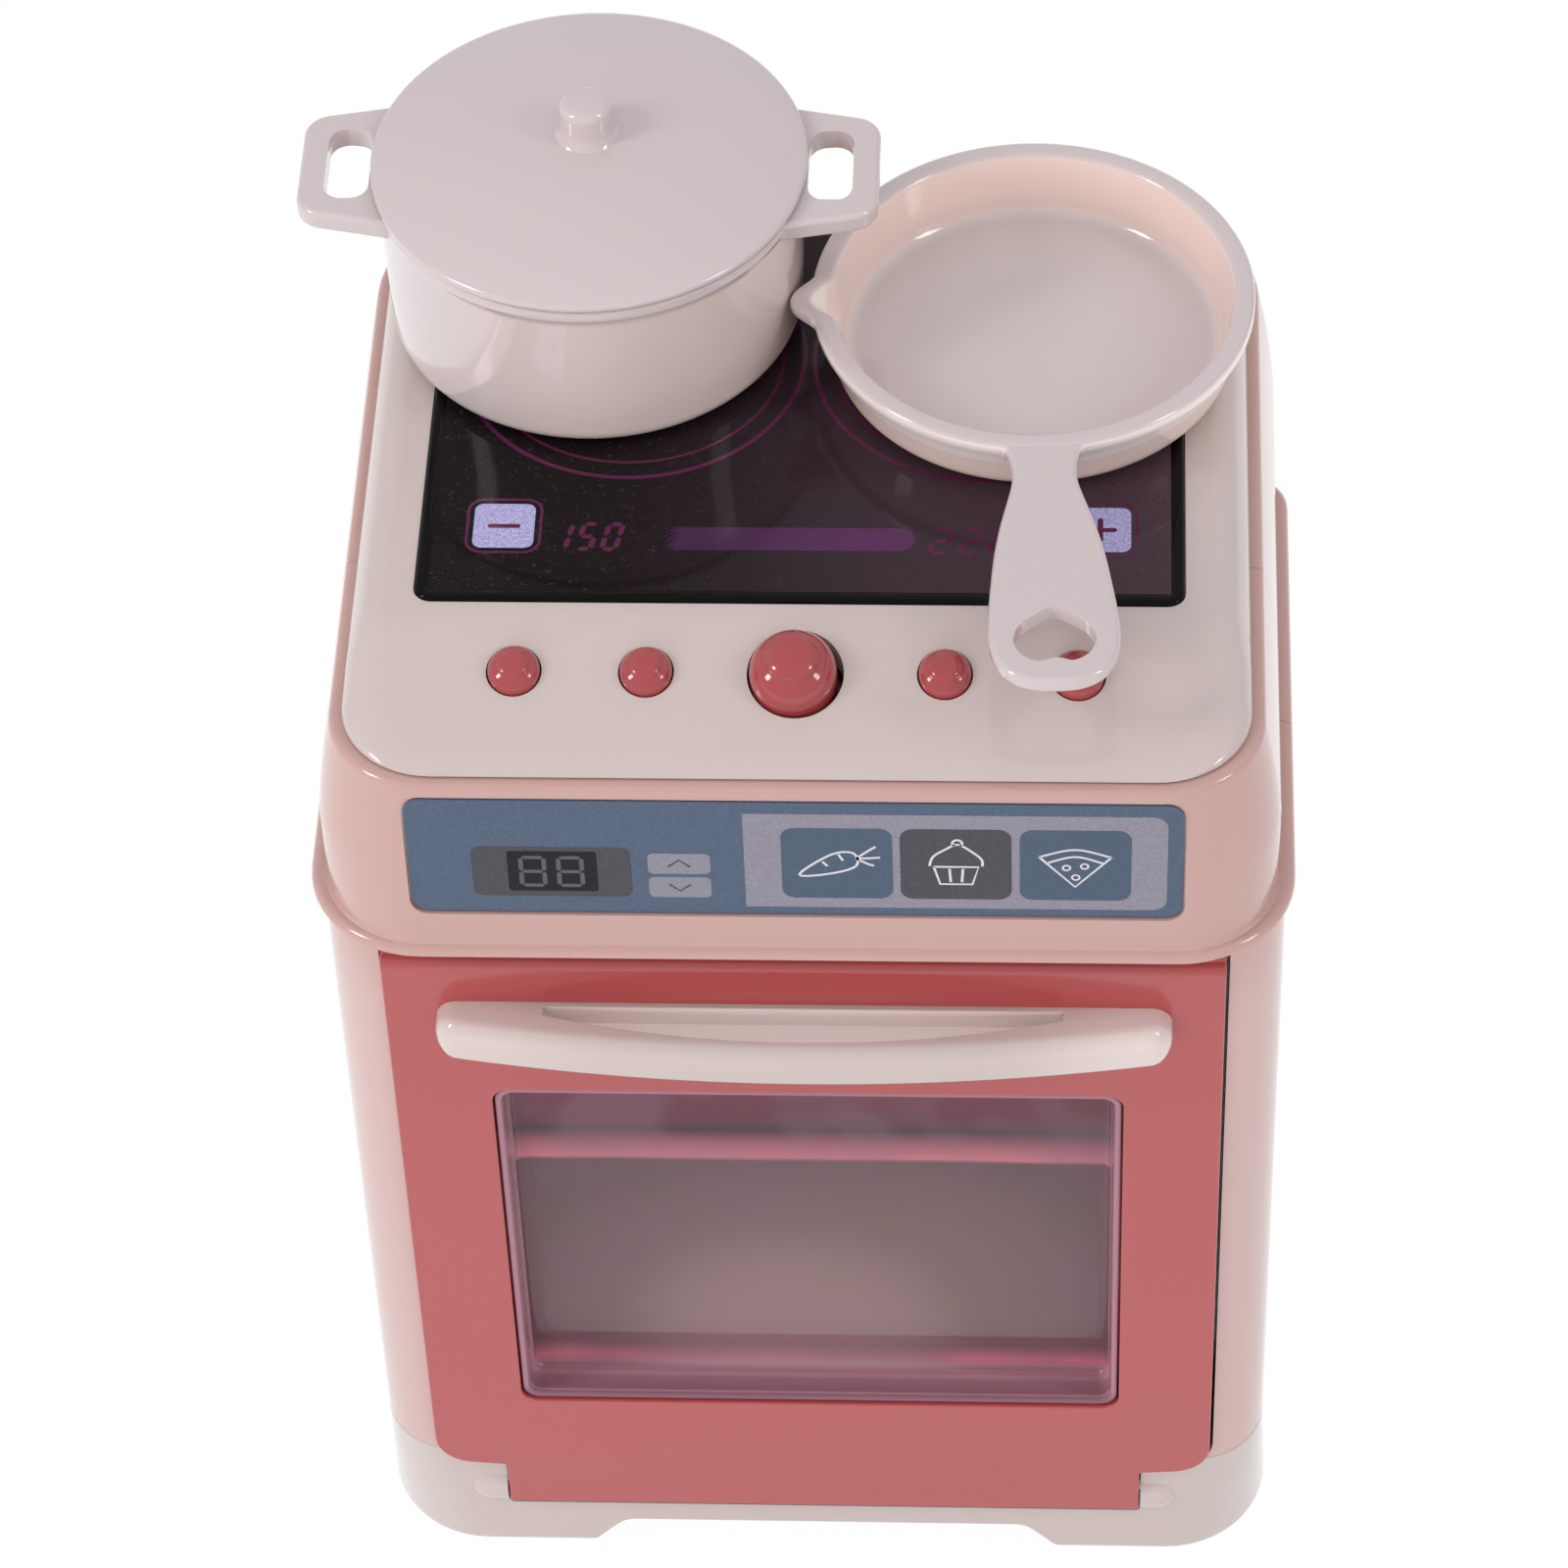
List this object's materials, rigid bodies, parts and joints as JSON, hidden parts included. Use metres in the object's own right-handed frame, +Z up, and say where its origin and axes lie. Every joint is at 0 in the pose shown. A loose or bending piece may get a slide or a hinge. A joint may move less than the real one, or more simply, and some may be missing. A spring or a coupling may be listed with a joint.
{
  "type": "toy oven",
  "caption": "Toy oven with hob, push buttons, drop-down windowed door, saucepan with lid and frying pan",
  "frame": {"origin": "middle of the oven's footprint on the table, halfway between the body's front and back faces", "axes": "+Z up, the door faces -Y, +X to the right seen from the front"},
  "size_m": [0.1655, 0.1446, 0.2715],
  "materials": {
    "cream": "glossy cream plastic",
    "cookware_cream": "glossy cream plastic",
    "pink": "glossy pale pink plastic",
    "coral": "glossy coral plastic",
    "hob_black": "polished black with printed purple rings and marks",
    "strip_blue": "printed satin sheet",
    "smoky": "smoky clear plastic",
    "liner": "satin grey mauve plastic",
    "dark_plastic": "satin black plastic",
    "circuit": "circuit board",
    "steel": "plated steel",
    "pad_rubber": "silicone rubber",
    "lamp_clear": "clear lamp body",
    "cell_wrap": "wrapped metal case"
  },
  "bodies": {
    "housing": {"base_shell": "cream", "bottom_cover": "cream", "front_shell": "pink", "rear_shell": "pink", "top_panel": "cream", "hob_plate": "hob_black", "control_strip": "strip_blue", "oven_liner": "liner", "oven_lamp": "lamp_clear", "lamp_board": "circuit", "hinge_pins": "steel", "button_pads": "pad_rubber", "button_board": "circuit", "button_board_screws": "steel", "main_board": "circuit", "main_chip": "dark_plastic", "main_board_screws": "steel", "speaker": "dark_plastic", "speaker_magnet": "steel", "speaker_screws": "steel", "battery_box": "dark_plastic", "batteries": "cell_wrap", "battery_springs": "steel", "battery_plates": "steel", "shell_screws": "steel", "base_screws": "steel"},
    "door": {"door_shell": "coral", "door_inner_frame": "coral", "window_pane": "smoky", "door_handle": "cream", "door_screws": "steel", "handle_screws": "steel"},
    "button_left_outer": {"button_left_outer": "coral"},
    "button_left_inner": {"button_left_inner": "coral"},
    "button_middle": {"button_middle": "coral"},
    "button_right_inner": {"button_right_inner": "coral"},
    "button_right_outer": {"button_right_outer": "coral"},
    "saucepan": {"saucepan": "cookware_cream"},
    "saucepan_lid": {"saucepan_lid": "cookware_cream"},
    "frying_pan": {"frying_pan": "cookware_cream"},
    "battery_cover": {"battery_cover": "pink", "cover_screw": "steel"}
  },
  "joints": [
    {"name": "door_hinge", "type": "hinge", "parent": "housing", "child": "door", "pos_m": [0, -0.0615, 0.018], "axis": [1, 0, 0], "range_deg": [0, 90]},
    {"name": "button_left_outer_press", "type": "slide", "parent": "housing", "child": "button_left_outer", "axis": [0, 0, -1], "range_m": [0, 0.002], "stiffness_N_per_m": 150},
    {"name": "button_left_inner_press", "type": "slide", "parent": "housing", "child": "button_left_inner", "axis": [0, 0, -1], "range_m": [0, 0.002], "stiffness_N_per_m": 150},
    {"name": "button_middle_press", "type": "slide", "parent": "housing", "child": "button_middle", "axis": [0, 0, -1], "range_m": [0, 0.002], "stiffness_N_per_m": 200},
    {"name": "button_right_inner_press", "type": "slide", "parent": "housing", "child": "button_right_inner", "axis": [0, 0, -1], "range_m": [0, 0.002], "stiffness_N_per_m": 150},
    {"name": "button_right_outer_press", "type": "slide", "parent": "housing", "child": "button_right_outer", "axis": [0, 0, -1], "range_m": [0, 0.002], "stiffness_N_per_m": 150},
    {"name": "saucepan_lift", "type": "slide", "parent": "housing", "child": "saucepan", "axis": [0, 0, 1], "range_m": [0, 0.05]},
    {"name": "lid_lift", "type": "slide", "parent": "saucepan", "child": "saucepan_lid", "axis": [0, 0, 1], "range_m": [0, 0.04]},
    {"name": "pan_lift", "type": "slide", "parent": "housing", "child": "frying_pan", "axis": [0, 0, 1], "range_m": [0, 0.01]},
    {"name": "battery_cover_removal", "type": "slide", "parent": "housing", "child": "battery_cover", "axis": [0, 1, 0], "range_m": [0, 0.03]}
  ]
}
